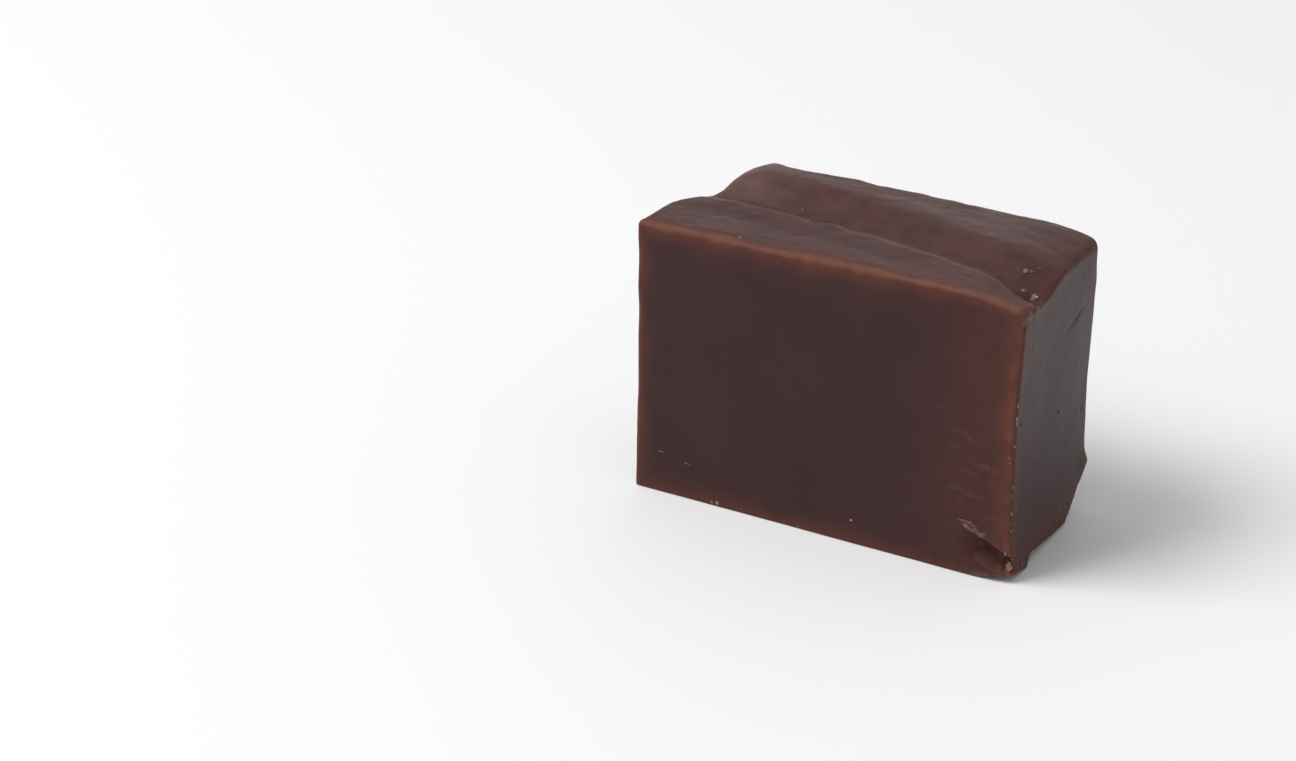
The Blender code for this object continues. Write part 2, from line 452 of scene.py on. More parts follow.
# %% Swell the faces
SWELL_SIZE = 0.14
SWELL_PITCH = 8.0
SWELL_OFFSETS = ((0.0, 0.0, 0.0), (31.7, 11.3, 5.9), (7.1, 43.9, 19.3))
SWELL_FROM = 0.5
SWELL_TO = 4.0


def swollen(point):
    """The point moved by the slow swell of the faces. The base stays flat."""
    place = point / SWELL_PITCH
    swell = Vector([noise.noise(place + Vector(offset)) for offset in SWELL_OFFSETS])
    return point + swell * SWELL_SIZE * smooth_step(SWELL_FROM, SWELL_TO, point.z)


# %% [markdown]
# ## The painted glow of the edges
#
# Light that enters fudge close to an edge soon leaves again, a little redder. That light is painted into the
# colour as a glow, strongest along the edges, each with its own strength and width. It is worked out on the
# plain block, where the way to an edge is a simple difference, and every point keeps its value when the
# block is shaped.

# %% Work out the painted glow
# For each face, the faces that it meets: how strongly its painted glow shows beside that edge, and how far
# in.
BROAD_GLOWS = {"top": (1.05, 1.05), "right": (0.95, 1.6), "bottom": (0.72, 0.9), "left": (0.85, 0.9)}
END_GLOWS = {"front": (0.7, 0.8), "back": (0.4, 1.2), "bottom": (0.7, 2.2), "top": (0.6, 0.6)}
GLOWS = {
    "front": BROAD_GLOWS,
    "back": BROAD_GLOWS,
    "top": {"front": (1.25, 1.35), "right": (0.5, 0.9), "back": (0.25, 0.8), "left": (0.2, 1.0)},
    "right": END_GLOWS,
    "left": END_GLOWS,
    "bottom": {},
}
# Beside the right end the front has a painted warm glow for a long way in.
PAINTED_WARMTH = 0.36
PAINTED_WARMTH_REACH = 11.0
# Along an edge the glow swells and shrinks by this share, over this many millimetres.
GLOW_UNEVEN = 0.5
GLOW_SHARPNESS = 1.6
GLOW_PITCH = 2.7
# A point this close to a face, in millimetres, lies on it.
ON_FACE = 0.001


def glow_at(point):
    """How strong the painted glow is at a point of the plain block."""
    to_face = {
        "left": point.x + HALF,
        "right": HALF - point.x,
        "front": point.y - FRONT,
        "back": -FRONT - point.y,
        "bottom": point.z,
        "top": HEIGHT - point.z,
    }
    painted_glow = 0.0
    uneven = 1 + GLOW_UNEVEN * noise.noise(point / GLOW_PITCH)
    for face, edges in GLOWS.items():
        if to_face[face] > ON_FACE:
            continue
        for other, (strength, width) in edges.items():
            inset = max(0.0, to_face[other]) / (width * uneven)
            painted_glow = max(painted_glow, strength * math.exp(-(inset**GLOW_SHARPNESS)))
    if to_face["front"] < ON_FACE:
        painted_glow = max(painted_glow, PAINTED_WARMTH * smooth_step(PAINTED_WARMTH_REACH, 0, to_face["right"]))
    return painted_glow


# %% [markdown]
# ## From block to fudge
#
# Now the steps run one after the other on every point. The edges are rounded first, on the plain block, and
# the breaks come last, because they cut through everything else. How far a break moved a point also tells
# how torn the fudge is there, which its surface will need.

# %% Shape the fine block
# How soon a point that a break moved counts as torn, per millimetre.
TORN_GAIN = 6


def shape_block(block):
    """Shapes the block. Returns how strong the painted glow is at each point, and how torn it is."""
    painted_glow, torn = [], []
    for vertex in block.verts:
        plain = vertex.co.copy()
        whole = knotted(scooped(ends_shaped(raised(rounded(plain.copy())))))
        whole = swollen(whole)
        vertex.co = broken(whole)
        painted_glow.append(glow_at(plain))
        torn.append(min(1.0, (whole - vertex.co).length * TORN_GAIN + scoop_share(plain)))
    return painted_glow, torn


painted_glow, torn = shape_block(block)
middle = [
    (min(v.co[axis] for v in block.verts) + max(v.co[axis] for v in block.verts)) / 2
    for axis in range(2)
]
print("middle of the shaped block, mm:", [round(m, 4) for m in middle])

# %% [markdown]
# ## Skin relief on the top
#
# What is left is the fine relief. The scraper smeared the top: it left soft mottles that are longer than
# they are wide, and a few shallow grooves beside the step. Noise that is stretched along the piece gives
# both. It is all real geometry and not only bump, so it shows at the outline.

# %% Heights of the poured top
# The height of each kind of mark, and its pitch along and across the piece.
HAIR_SIZE = 0.006
HAIR_PITCH = (3.0, 0.3)
SMEAR_SIZE = 0.03
SMEAR_PITCH = (3.5, 1.3)
MOTTLE_SIZE = 0.026
MOTTLE_PITCH = (1.1, 0.7)
FINE_MOTTLE_SHARE = 0.7
FINE_MOTTLE_PITCH = (0.5, 0.35)
# Grooves beside the step: how far behind it, how wide and how deep. They wander and come and go.
COMBED = ((2.0, 0.9, 0.035), (4.1, 1.1, 0.04), (6.3, 1.1, 0.03), (-3.0, 0.8, 0.03))
COMBED_WANDER = 0.6
COMBED_WANDER_PITCH = 5.0
COMBED_STRENGTH = 0.6
COMBED_CHANGE = 0.8
COMBED_CHANGE_PITCH = 4.0


def drawn_noise(first, second, pitch, layer):
    """Noise with its own pitch each way. Another layer number gives another pattern."""
    return noise.noise(Vector((first / pitch[0], second / pitch[1], layer)))


def top_skin(place):
    """Hair lines, smears, mottles and combed grooves on the poured top."""
    hair = drawn_noise(place.x, place.y, HAIR_PITCH, 1.7)
    smear = drawn_noise(place.x, place.y, SMEAR_PITCH, 9.3)
    mottle = drawn_noise(place.x, place.y, MOTTLE_PITCH, 5.1)
    mottle += FINE_MOTTLE_SHARE * drawn_noise(place.x, place.y, FINE_MOTTLE_PITCH, 2.9)
    height = HAIR_SIZE * hair + SMEAR_SIZE * smear + MOTTLE_SIZE * mottle
    wander = COMBED_WANDER * noise.noise(Vector((place.x / COMBED_WANDER_PITCH, 3.3, 0.0)))
    behind = behind_step(place) + wander
    for offset, width, depth in COMBED:
        change = noise.noise(Vector((place.x / COMBED_CHANGE_PITCH, offset * 3.0, 7.7)))
        strength = COMBED_STRENGTH + COMBED_CHANGE * change
        height -= depth * strength * hump(offset, width, behind)
    return height


# %% [markdown]
# ## Skin relief on the cuts
#
# The knife dragged the fudge along, which shows as long faint waves. Where it slowed, near the right end,
# it also left short slanted folds. Each fold has a place of its own, because noise alone would spread the
# same texture everywhere. The ends were cut first, in one quick stroke, and have small open pits.

# %% Heights of the cut faces
CUT_WAVE = 0.03
CUT_WAVE_PITCH = 2.3
CUT_HAIR = 0.006
CUT_HAIR_PITCH = (4.0, 0.4)
# Each fold: x and z of its middle, half its length, its strength and its slope in degrees.
FOLDS = (
    (12.0, 11.5, 1.6, 1.0, -17),
    (11.3, 10.3, 0.8, 0.7, -6),
    (13.8, 9.3, 1.7, 0.9, -12),
    (12.6, 8.6, 1.2, 0.7, -20),
    (11.5, 7.1, 1.0, 0.9, -3),
    (12.9, 6.8, 1.4, 0.8, -12),
    (12.0, 6.1, 0.8, 0.5, -22),
    (9.8, 13.3, 0.6, 0.6, -10),
    (14.1, 10.9, 1.0, 0.4, -24),
    (14.4, 5.2, 1.1, 0.5, -14),
)
# The general slope of what the knife dragged up.
FOLD_SLOPE = math.radians(-15)
FOLD_BEND = 0.1
FOLD_THICK = 0.3
FOLD_SIZE = 0.1
# A dip runs this far under each crest, and is this deep for the crest's height.
FOLD_DIP_UNDER = 0.4
FOLD_DIP_SHARE = 0.6
# Height and pitch of the two noises that a fold wavers with.
FOLD_WAVER = ((0.3, 0.8), (0.12, 0.3))
FOLD_NEAR = 2.0
FRAY_SIZE = 0.035
FRAY_PITCH = (1.4, 0.5)
FRAY_REACH = (6.5, 1.0)
FRAY_TOP = 0.45
DRAG_SIZE = 0.04
DRAG_PITCH = (5.0, 1.8)
PIT_DEPTH = 0.1
PIT_PITCH = 1.7
PIT_SHARE = 0.16
# A number that isn't whole makes the draw for one cell unlike the draw for the next.
PIT_SHUFFLE = 7.3
# The floor and the rim of a pit, as shares of the pitch.
PIT_RADII = (0.04, 0.2)
END_GRAIN = 0.008
END_GRAIN_PITCH = 0.5
TORN_GRAIN = 0.11
TORN_PITCH = 0.55
FINE_TORN_SHARE = 0.6
FINE_TORN_PITCH = 0.24


def turned(across, up, slope):
    """The same step, along and over a line that slopes."""
    along = across * math.cos(slope) + up * math.sin(slope)
    over = up * math.cos(slope) - across * math.sin(slope)
    return along, over


def fold_share(place):
    """How much of a fold's crest and of the dip under it is at a point."""
    crest, dip = 0.0, 0.0
    waver = sum(size * noise.noise(place / pitch) for size, pitch in FOLD_WAVER)
    for x, z, length, strength, slope in FOLDS:
        along, over = turned(place.x - x, place.z - z, math.radians(slope))
        if abs(along) < length and abs(over) < FOLD_NEAR:
            over += waver + FOLD_BEND * along * along
            share = strength * hump(0, length, along)
            crest = max(crest, share * hump(0, FOLD_THICK, over))
            dip = max(dip, share * hump(-FOLD_DIP_UNDER, FOLD_THICK, over))
    return crest, dip


def front_skin(place):
    """The long drags of a broad face, and the folds and frays near its right end."""
    along, over = turned(place.x, place.z, FOLD_SLOPE)
    fray = drawn_noise(along, over, FRAY_PITCH, 4.4)
    reach = smooth_step(HALF - FRAY_REACH[0], HALF - FRAY_REACH[1], place.x)
    height = FRAY_SIZE * fray * reach * smooth_step(HEIGHT, FRAY_TOP * HEIGHT, place.z)
    height += DRAG_SIZE * drawn_noise(along, over, DRAG_PITCH, place.y)
    height += CUT_HAIR * drawn_noise(place.x, place.z, CUT_HAIR_PITCH, 8.1)
    crest, dip = fold_share(place)
    return height + FOLD_SIZE * (crest - FOLD_DIP_SHARE * dip)


def pits(place):
    """Small round pits, in a share of the cells of a loose lattice."""
    distances, centres = noise.voronoi(place / PIT_PITCH)
    if noise.cell(centres[0] * PIT_SHUFFLE) % 1.0 > PIT_SHARE:
        return 0.0
    return -PIT_DEPTH * (1 - smooth_step(*PIT_RADII, distances[0]))


# %% [markdown]
# ## Marks with a place of their own
#
# Some marks aren't a texture, they happened once: a nick in the crown's back edge, the hollow round the
# largest crumb, a crack across the right end. Each has a place and a size. A dent is round and a crease is
# long.

# %% Named dents and creases
# Place, radius and depth.
DENTS = (
    ((7.6, 6.9, 23.7), 1.9, 0.16),
    ((-12.9, 7.0, 24.2), 1.6, 0.22),
    ((14.8, -4.0, 22.0), 0.7, 0.28),
    ((16.1, -5.4, 18.9), 0.5, 0.08),
    ((16.1, 4.7, 18.2), 0.6, 0.05),
    ((16.0, 3.6, 21.0), 0.5, 0.04),
    ((16.2, -1.0, 9.0), 0.5, 0.05),
    ((16.2, -7.2, 13.9), 0.55, 0.12),
    ((16.2, -7.3, 7.0), 0.7, 0.1),
    ((-2.0, -7.3, 22.3), 0.8, 0.1),
    ((7.0, -7.3, 22.3), 1.0, 0.12),
)
# Two ends, width and depth.
CREASES = (
    ((16.0, 0.8, 17.2), (16.0, 2.9, 17.9), 0.4, 0.07),
    ((16.0, 2.2, 17.6), (16.0, 4.6, 18.5), 0.28, 0.12),
    ((3.6, -7.4, 4.5), (12.2, -7.4, 3.3), 0.6, 0.11),
    ((-14.6, -7.4, 3.1), (-13.7, -7.4, 3.0), 0.14, -0.07),
    ((-12.0, -7.4, 3.0), (-11.0, -7.4, 2.8), 0.14, -0.07),
)
CREASE_UNEVEN = 0.5
CREASE_PITCH = 0.5
CREASE_TAPER = 3


def dented(place):
    """The depth of the named dents at a point, below zero."""
    height = 0.0
    for centre, radius, depth in DENTS:
        distance = (place - Vector(centre)).length
        if distance < radius:
            height -= depth * hump(0, radius, distance)
    return height


def creased(place):
    """The depth of the named creases at a point. A crease of negative depth stands up."""
    height = 0.0
    for start, end, width, depth in CREASES:
        first, last = Vector(start), Vector(end)
        share = (place - first).dot(last - first) / (last - first).length_squared
        share = min(1.0, max(0.0, share))
        nearest = first.lerp(last, share)
        uneven = 1 + CREASE_UNEVEN * noise.noise(place / CREASE_PITCH)
        distance = (place - nearest).length * uneven
        if distance < width:
            height -= depth * hump(0, width, distance) * (1 - abs(2 * share - 1) ** CREASE_TAPER)
    return height


# %% [markdown]
# ## The torn rim
#
# Above the scoop the fudge was pulled out into a thin ragged lip before it parted. It stands up a little,
# and since it is thin it is also paler, so one share gives both its height and, later, its colour. The lip
# is thick for a short way and worn from there on, and noise drawn out along it tears it into strands.

# %% The torn rim's share
RIM_LIP_SIZE = 0.13
# The lip's middle lies this far above the scoop. It is thick for a short way, and thin from there on.
RIM_ABOVE = 0.12
RIM_START = (-0.5, 0.2)
RIM_THIN = 0.2
RIM_THICKER = 0.26
RIM_THICKEST_AT = 1.0
RIM_THICK_REACH = 1.2
RIM_FRAY_TO = 2.5
RIM_WORN_SHARE = 0.15
RIM_LENGTH = 6.0
# It is this solid. Long tatters and small bites tear it, each with a strength and a pitch.
RIM_SOLID = 0.5
RIM_TATTERS = (1.2, (0.45, 0.15))
RIM_BITES = (0.7, 0.2)
# Farther than this above or below the rim, and farther than this behind the front, there is no lip.
RIM_NEAR = 0.8
RIM_BEHIND = 1.0


def rim_share(place):
    """How much of the scoop's torn lip is at a point, from 0 to 1."""
    along, below = scoop_rim(place)
    beside = RIM_START[0] < along < RIM_LENGTH and abs(below) <= RIM_NEAR
    if place.y > FRONT + RIM_BEHIND or not beside:
        return 0.0
    ragged = RIM_SOLID + RIM_TATTERS[0] * drawn_noise(along, below, RIM_TATTERS[1], 3.1)
    ragged += RIM_BITES[0] * noise.noise(place / RIM_BITES[1])
    fresh = smooth_step(RIM_FRAY_TO, 0.5 * RIM_FRAY_TO, along)
    fades = between(RIM_WORN_SHARE, 1, fresh)
    width = RIM_THIN + RIM_THICKER * hump(RIM_THICKEST_AT, RIM_THICK_REACH, along)
    share = hump(-RIM_ABOVE, width, below) * smooth_step(*RIM_START, along) * fades
    return min(1.0, max(0.0, share * ragged))


# %% [markdown]
# ## Pale places and painted highlights
#
# Fudge is paler where it is thin or has dried, as at the crumbly foot and at one worn corner, which also has
# a painted highlight. The crests of the folds and the lip of the step carry painted highlights, and the left
# of the crown a painted sheen. Each is a small function that gives a share, and the largest share wins.
# Adding them up would make spots too bright where two meet.

# %% Where the fudge is pale or has a painted highlight
# How far a face looks out to the front, up or to the right to have the pale places and painted highlights
# of that side.
LOOKS_FRONT = 0.8
LOOKS_UP = 0.6
LOOKS_RIGHT = 0.2
# How pale the thin and dry places are, and how bright the painted highlights. For an uneven one, two numbers
# say how much of it is always there and how much comes and goes with noise.
# The crests of the folds get a painted highlight.
FOLD_HIGHLIGHT = 0.13
# A painted highlight along the lip of the step: how bright, where, how wide, how uneven and its pitch.
STEP_HIGHLIGHT = 0.32
STEP_HIGHLIGHT_AT = -0.2
STEP_HIGHLIGHT_WIDTH = 0.5
STEP_HIGHLIGHT_UNEVEN = (0.6, 0.9)
STEP_HIGHLIGHT_PITCH = (0.7, 0.25)
# The foot under the scoop is crumbly towards the right, and up to this height.
FOOT_PALE = 0.42
FOOT_PALE_ALONG = (11.5, 14.0)
FOOT_PALE_UP = (0.8, 0.1)
FOOT_PALE_DEPTH = 2.5
FOOT_PALE_UNEVEN = (0.9, 1.6)
FOOT_PALE_PITCH = 0.5
# How pale the crown is everywhere, how much a painted sheen adds at its left end, and how soon behind the
# step both begin.
CROWN_PALE = 0.06
PAINTED_SHEEN_LEFT = 0.24
PAINTED_SHEEN_ALONG = (-5.0, -14.0)
CROWN_PALE_BEHIND = (0.0, 1.5)
CROWN_PALE_UNEVEN = (1, 0.5)
CROWN_PALE_PITCH = (2.0, 1.1)
# The ledge is paler towards its right end.
LEDGE_PALE = 0.13
LEDGE_PALE_ALONG = (3.0, 14.0)
LEDGE_PALE_BEHIND = (0.5, -0.5)
# The worn front corner of the right end, pale from wear and with a painted highlight: how pale and how
# solid, then its spots and their reach.
WORN_PALE_AND_HIGHLIGHT = 0.7
WORN_SOLID = 0.7
WORN_PALE_PITCH = 0.3
WORN_SPOTS = (
    ((15.9, -7.0, 21.4), 0.7),
    ((15.95, -6.3, 21.7), 0.6),
    ((15.95, -4.9, 21.7), 0.5),
    ((15.95, -4.3, 21.75), 0.5),
)


def foot_pale(place):
    """How pale the crumbly foot under the scoop is."""
    crumbly = FOOT_PALE_UNEVEN[0] + FOOT_PALE_UNEVEN[1] * noise.noise(place / FOOT_PALE_PITCH)
    low_down = smooth_step(*FOOT_PALE_UP, place.z)
    to_right = smooth_step(*FOOT_PALE_ALONG, place.x)
    return FOOT_PALE * crumbly * (low_down * to_right)


def top_pale_and_highlight(place):
    """How pale the top is: the painted highlight on the lip of the step, the crown with its painted sheen,
    and the right of the ledge.
    """
    behind = behind_step(place)
    change = drawn_noise(place.x, place.y, STEP_HIGHLIGHT_PITCH, 6.6)
    fuzzy = STEP_HIGHLIGHT_UNEVEN[0] + STEP_HIGHLIGHT_UNEVEN[1] * change
    # The lip of the step gets a painted highlight.
    lip = STEP_HIGHLIGHT * fuzzy * hump(STEP_HIGHLIGHT_AT, STEP_HIGHLIGHT_WIDTH, behind)
    # The crown is paler all over, and a painted sheen brightens its left end.
    crown_pale_and_sheen = CROWN_PALE + PAINTED_SHEEN_LEFT * smooth_step(*PAINTED_SHEEN_ALONG, place.x)
    crown_pale_and_sheen *= CROWN_PALE_UNEVEN[0] + CROWN_PALE_UNEVEN[1] * drawn_noise(place.x, place.y, CROWN_PALE_PITCH, 1.2)
    crown_pale_and_sheen *= smooth_step(*CROWN_PALE_BEHIND, behind)
    ledge = LEDGE_PALE * smooth_step(*LEDGE_PALE_ALONG, place.x)
    ledge *= smooth_step(*LEDGE_PALE_BEHIND, behind)
    return max(lip, crown_pale_and_sheen, ledge)


def worn_pale_and_highlight(place):
    """How pale the worn front corner of the right end is, from wear and from a painted highlight."""
    pale_and_highlight = 0.0
    for centre, reach in WORN_SPOTS:
        away = (place - Vector(centre)).length / reach
        spots = WORN_SOLID + noise.noise(place / WORN_PALE_PITCH)
        pale_and_highlight = max(pale_and_highlight, WORN_PALE_AND_HIGHLIGHT * smooth_step(1, 0, away) * spots)
    return pale_and_highlight


def pale_and_highlight_share(place, normal):
    """How pale the fudge is at a point, from thin, dry and worn places and from painted highlights and
    sheen.
    """
    pale_and_highlight = rim_share(place)
    if place.y < FRONT + FOOT_PALE_DEPTH and place.z < FOOT_PALE_UP[0]:
        pale_and_highlight = max(pale_and_highlight, foot_pale(place))
    if normal.y < -LOOKS_FRONT:
        # A painted highlight on the crests of the folds.
        crest, _ = fold_share(place)
        pale_and_highlight = max(pale_and_highlight, FOLD_HIGHLIGHT * crest)
    if normal.z > LOOKS_UP:
        pale_and_highlight = max(pale_and_highlight, top_pale_and_highlight(place))
    if normal.x > LOOKS_RIGHT:
        # The worn corner, pale from wear and with a painted highlight.
        pale_and_highlight = max(pale_and_highlight, worn_pale_and_highlight(place))
    return min(1.0, pale_and_highlight)


# %% [markdown]
# ## All the relief together
#
# Every point now gets the height of its own face. A face that leans takes a share of two kinds of skin, so
# there is no seam where the top meets a cut. Torn places get a coarse grain on top. The base keeps still,
# since a piece that stands on bumps would rock.

# %% Add up the relief
# Where a leaning face begins to count as the top or as a side, and where it fully does.
FACES_UP = (0.55, 0.85)
FACES_AWAY = (0.6, 0.9)
# The flat base: faces that look down more than this, and lie lower than this.
BASE_FACING = -0.7
BASE_TOP = 0.3


def skin_height(place, normal, torn_share):
    """How far a point stands out from the smooth fudge, in millimetres."""
    up = smooth_step(*FACES_UP, normal.z)
    broad = smooth_step(*FACES_AWAY, abs(normal.y))
    end = smooth_step(*FACES_AWAY, abs(normal.x))
    height = dented(place) + creased(place) + RIM_LIP_SIZE * rim_share(place)
    height += (1 - up) * CUT_WAVE * noise.noise(place / CUT_WAVE_PITCH)
    if up > 0:
        height += up * top_skin(place)
    if broad > 0:
        height += broad * front_skin(place)
    if end > 0:
        height += end * (pits(place) + END_GRAIN * noise.noise(place / END_GRAIN_PITCH))
    grain = noise.noise(place / TORN_PITCH) + FINE_TORN_SHARE * noise.noise(place / FINE_TORN_PITCH)
    return height + torn_share * TORN_GRAIN * grain


def on_base(normal, place):
    """Whether a point belongs to the flat base."""
    return normal.z < BASE_FACING and place.z < BASE_TOP


def add_skin(block, torn):
    """Moves each point along its normal by the height of its skin. The base stays flat."""
    block.normal_update()
    heights = []
    for vertex, torn_share in zip(block.verts, torn):
        if on_base(vertex.normal, vertex.co):
            heights.append(0.0)
        else:
            heights.append(skin_height(vertex.co, vertex.normal, torn_share))
    for vertex, height in zip(block.verts, heights):
        vertex.co += vertex.normal * height
        vertex.co.z = max(0.0, vertex.co.z)
    print("skin from", round(min(heights), 3), "to", round(max(heights), 3), "mm")


block.normal_update()
# How pale each point is, from thin, dry and worn places and from painted highlights and sheen.
pale_and_highlight = [pale_and_highlight_share(vertex.co, vertex.normal) for vertex in block.verts]
add_skin(block, torn)

# %% [markdown]
# ## The piece as an object
#
# The millimetres become metres, and the middle of the box moves to the origin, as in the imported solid. The
# lists of shares go onto the mesh as attributes, which the surface nodes read by name. Attributes are the
# tidy way to tell a procedural material where on the object it is.

# %% Make the fudge object
def put_attribute(mesh, name, values):
    """Stores one number for each point of a mesh."""
    attribute = mesh.attributes.new(name, "FLOAT", "POINT")
    attribute.data.foreach_set("value", values)


def to_frame(block):
    """Turns the block's millimetres into the frame's metres, centred on its box."""
    bmesh.ops.translate(block, verts=block.verts, vec=-Vector((*middle, 0.0)))
    bmesh.ops.scale(block, verts=block.verts, vec=(MM, MM, MM))


def make_object(name, grid, smooth=True):
    """An object from a grid, shaded smooth or with flat facets."""
    mesh = bpy.data.meshes.new(name)
    grid.to_mesh(mesh)
    grid.free()
    (mesh.shade_smooth if smooth else mesh.shade_flat)()
    made = bpy.data.objects.new(name, mesh)
    bpy.context.scene.collection.objects.link(made)
    return made


# How much dry skin the ledge has, how that blends into the crown, and which faces begin and fully have it.
LEDGE_DRY = 0.85
LEDGE_DRY_BLEND = (-0.5, 0.5)
HAS_SKIN = (0.5, 0.9)


def poured_share(place, normal):
    """How much of the dry poured skin is at a point."""
    dry = between(LEDGE_DRY, 1, smooth_step(*LEDGE_DRY_BLEND, behind_step(place)))
    return smooth_step(*HAS_SKIN, normal.z) * dry


block.normal_update()
poured = [poured_share(v.co, v.normal) for v in block.verts]
to_frame(block)
surface = BVHTree.FromBMesh(block)
fudge = make_object("fudge", block)
for name, shares in (("painted_glow", painted_glow), ("torn", torn), ("pale_and_highlight", pale_and_highlight), ("poured", poured)):
    put_attribute(fudge.data, name, shares)
print("fudge:", [round(side / MM, 2) for side in fudge.dimensions], "mm")

# %% [markdown]
# ## Crumbs
#
# Cutting fudge leaves crumbs, and they cling to the edges that the knife passed. They are much paler than
# the piece, because light passes through something so thin. Each is a small ball that is cut by a few
# random planes, moved by noise and flattened, so it looks broken and not moulded. Each lies at the nearest
# point of the fudge, so it sits on it and not over it.

# %% Shape one crumb
def settle(spot):
    """The nearest point of the fudge to a spot in millimetres, and the normal there."""
    place, normal, _, _ = surface.find_nearest((Vector(spot) - Vector((*middle, 0.0))) * MM)
    return place, normal


# Sizes of a crumb as shares of its own size.
CRUMB_HALF = 0.62
CRUMB_WIDTHS = (0.6, 1.0)
CRUMB_FLATNESS = (0.4, 0.7)
CRUMB_FACETS = 9
FACET_REACH = (0.4, 0.8)
LUMPS = 0.5
LUMP_PITCH = 1.9
STANDS_UP = 0.15
# Each crumb asks the noise in a place of its own, up to this far away.
SEEDS = 50
# A crumb that is larger than this gets a finer ball.
FINE_FROM = 0.2
# How much of its tone a crumb has at least, how much noise adds, and over what part of it.
TONE_BASE = 0.85
TONE_CHANGE = 0.9
TONE_PITCH = 1.4
TONE_LEAST = 0.1
# A crumb that is longer than this for its width is a sliver, with pointed ends instead of broken ones.
SLIVER_STRETCH = 2.0
# The small bits stuck to a large one: how many, how far from its middle and how large for its size.
BITS = 2
BITS_AWAY = (0.3, 0.5)
BITS_SIZE = (0.35, 0.6)


def random_way(draw):
    """A direction drawn evenly from all round."""
    up = draw.uniform(-1, 1)
    turn = draw.uniform(0, 2 * math.pi)
    flat = math.sqrt(1 - up * up)
    return Vector((flat * math.cos(turn), flat * math.sin(turn), up))


def crumb(grid, tones, place, normal, size, tone, draw, stretch=1.0, turned_by=None):
    """Adds one angular crumb to the grid, lying on the surface and pressed a little way in."""
    fineness = 3 if size > FINE_FROM else 2
    made = bmesh.ops.create_icosphere(grid, subdivisions=fineness, radius=1.0)["verts"]
    seed = Vector([draw.uniform(0, SEEDS) for _ in range(3)])
    facets = [(random_way(draw), draw.uniform(*FACET_REACH)) for _ in range(CRUMB_FACETS)]
    if stretch > SLIVER_STRETCH:
        facets = []
    flat = draw.uniform(*CRUMB_FLATNESS)
    shape = Vector((stretch, draw.uniform(*CRUMB_WIDTHS), flat)) * size * CRUMB_HALF
    if turned_by is None:
        turned_by = draw.uniform(0, 2 * math.pi)
    turn = normal.to_track_quat("Z", "Y").to_matrix() @ Matrix.Rotation(turned_by, 3, "Z")
    for vertex in made:
        point = vertex.co.copy()
        for way, reach in facets:
            outside = point.dot(way) - reach
            if outside > 0:
                point -= way * outside
        point *= 1 + LUMPS * noise.noise(vertex.co * LUMP_PITCH + seed)
        local = Vector([c * s for c, s in zip(point, shape)])
        local.z += size * flat * STANDS_UP
        change = TONE_CHANGE * noise.noise(vertex.co * TONE_PITCH + seed)
        tones.append(max(TONE_LEAST, tone * (TONE_BASE + change)))
        vertex.co = place + turn @ local * MM


def cluster(grid, tones, spot, size, tone, draw):
    """A crumb as it breaks in life: one large bit with smaller ones stuck to it."""
    crumb(grid, tones, *settle(spot), size, tone, draw)
    for _ in range(BITS):
        beside = Vector(spot) + random_way(draw) * size * draw.uniform(*BITS_AWAY)
        crumb(grid, tones, *settle(beside), size * draw.uniform(*BITS_SIZE), tone, draw)


# %% [markdown]
# ## Where the crumbs lie
#
# Crumbs scattered evenly look like dandruff. Real ones lie where something happened: beside the step, along
# the edge that the knife left last, and round the scoop, where slivers of the torn lip still point back the
# way that the knife came. So those have places, and only the finest dust is left to chance.

# %% Drop the crumbs
# Where each crumb lies, how large it is and how pale.
NAMED_CRUMBS = (
    ((15.0, -3.9, 22.1), 0.6, 0.6),
    ((14.15, -3.7, 22.4), 0.24, 1.1),
    ((13.6, -1.9, 22.9), 0.4, 0.6),
    ((13.95, -1.75, 22.9), 0.3, 0.5),
    ((14.3, -1.1, 23.0), 0.22, 0.6),
    ((-7.6, -6.6, 22.85), 0.34, 0.8),
    ((-6.2, 1.2, 22.8), 0.22, 0.6),
    ((-9.3, 4.4, 24.0), 0.18, 0.6),
    ((-12.2, -1.5, 22.8), 0.18, 0.4),
    ((3.02, FRONT, 2.03), 0.22, 0.95),
    ((-1.5, FRONT, 0.26), 0.18, 1.0),
    ((-8.7, FRONT, 0.36), 0.24, 1.0),
    ((-9.2, FRONT, 0.32), 0.18, 1.0),
    # This crumb's tone of 2.0 makes it fully pale, as a painted glint.
    ((HALF, 1.46, 10.74), 0.26, 2.0),
    ((HALF, -0.3, 3.99), 0.18, 0.5),
    ((HALF, 1.84, 1.25), 0.2, 0.6),
    ((HALF, -5.3, 0.95), 0.28, 0.9),
    ((15.85, -6.75, 1.3), 0.62, 0.8),
    ((15.7, FRONT, 2.65), 0.28, 0.5),
    ((16.0, -6.8, 1.95), 0.22, 0.6),
)
# On the right end's front edge: how high, how large and how long for their width.
EDGE_CRUMBS = (
    (14.65, 0.22, 1.2),
    (13.7, 0.2, 1.5),
    (13.35, 0.26, 1.2),
    (13.1, 0.16, 1.6),
    (11.4, 0.18, 1.2),
    (8.05, 0.2, 1.3),
    (7.2, 0.15, 1.3),
    (5.9, 0.18, 1.4),
    (5.1, 0.1, 1.2),
    (4.5, 0.13, 1.6),
    (3.9, 0.1, 1.2),
)
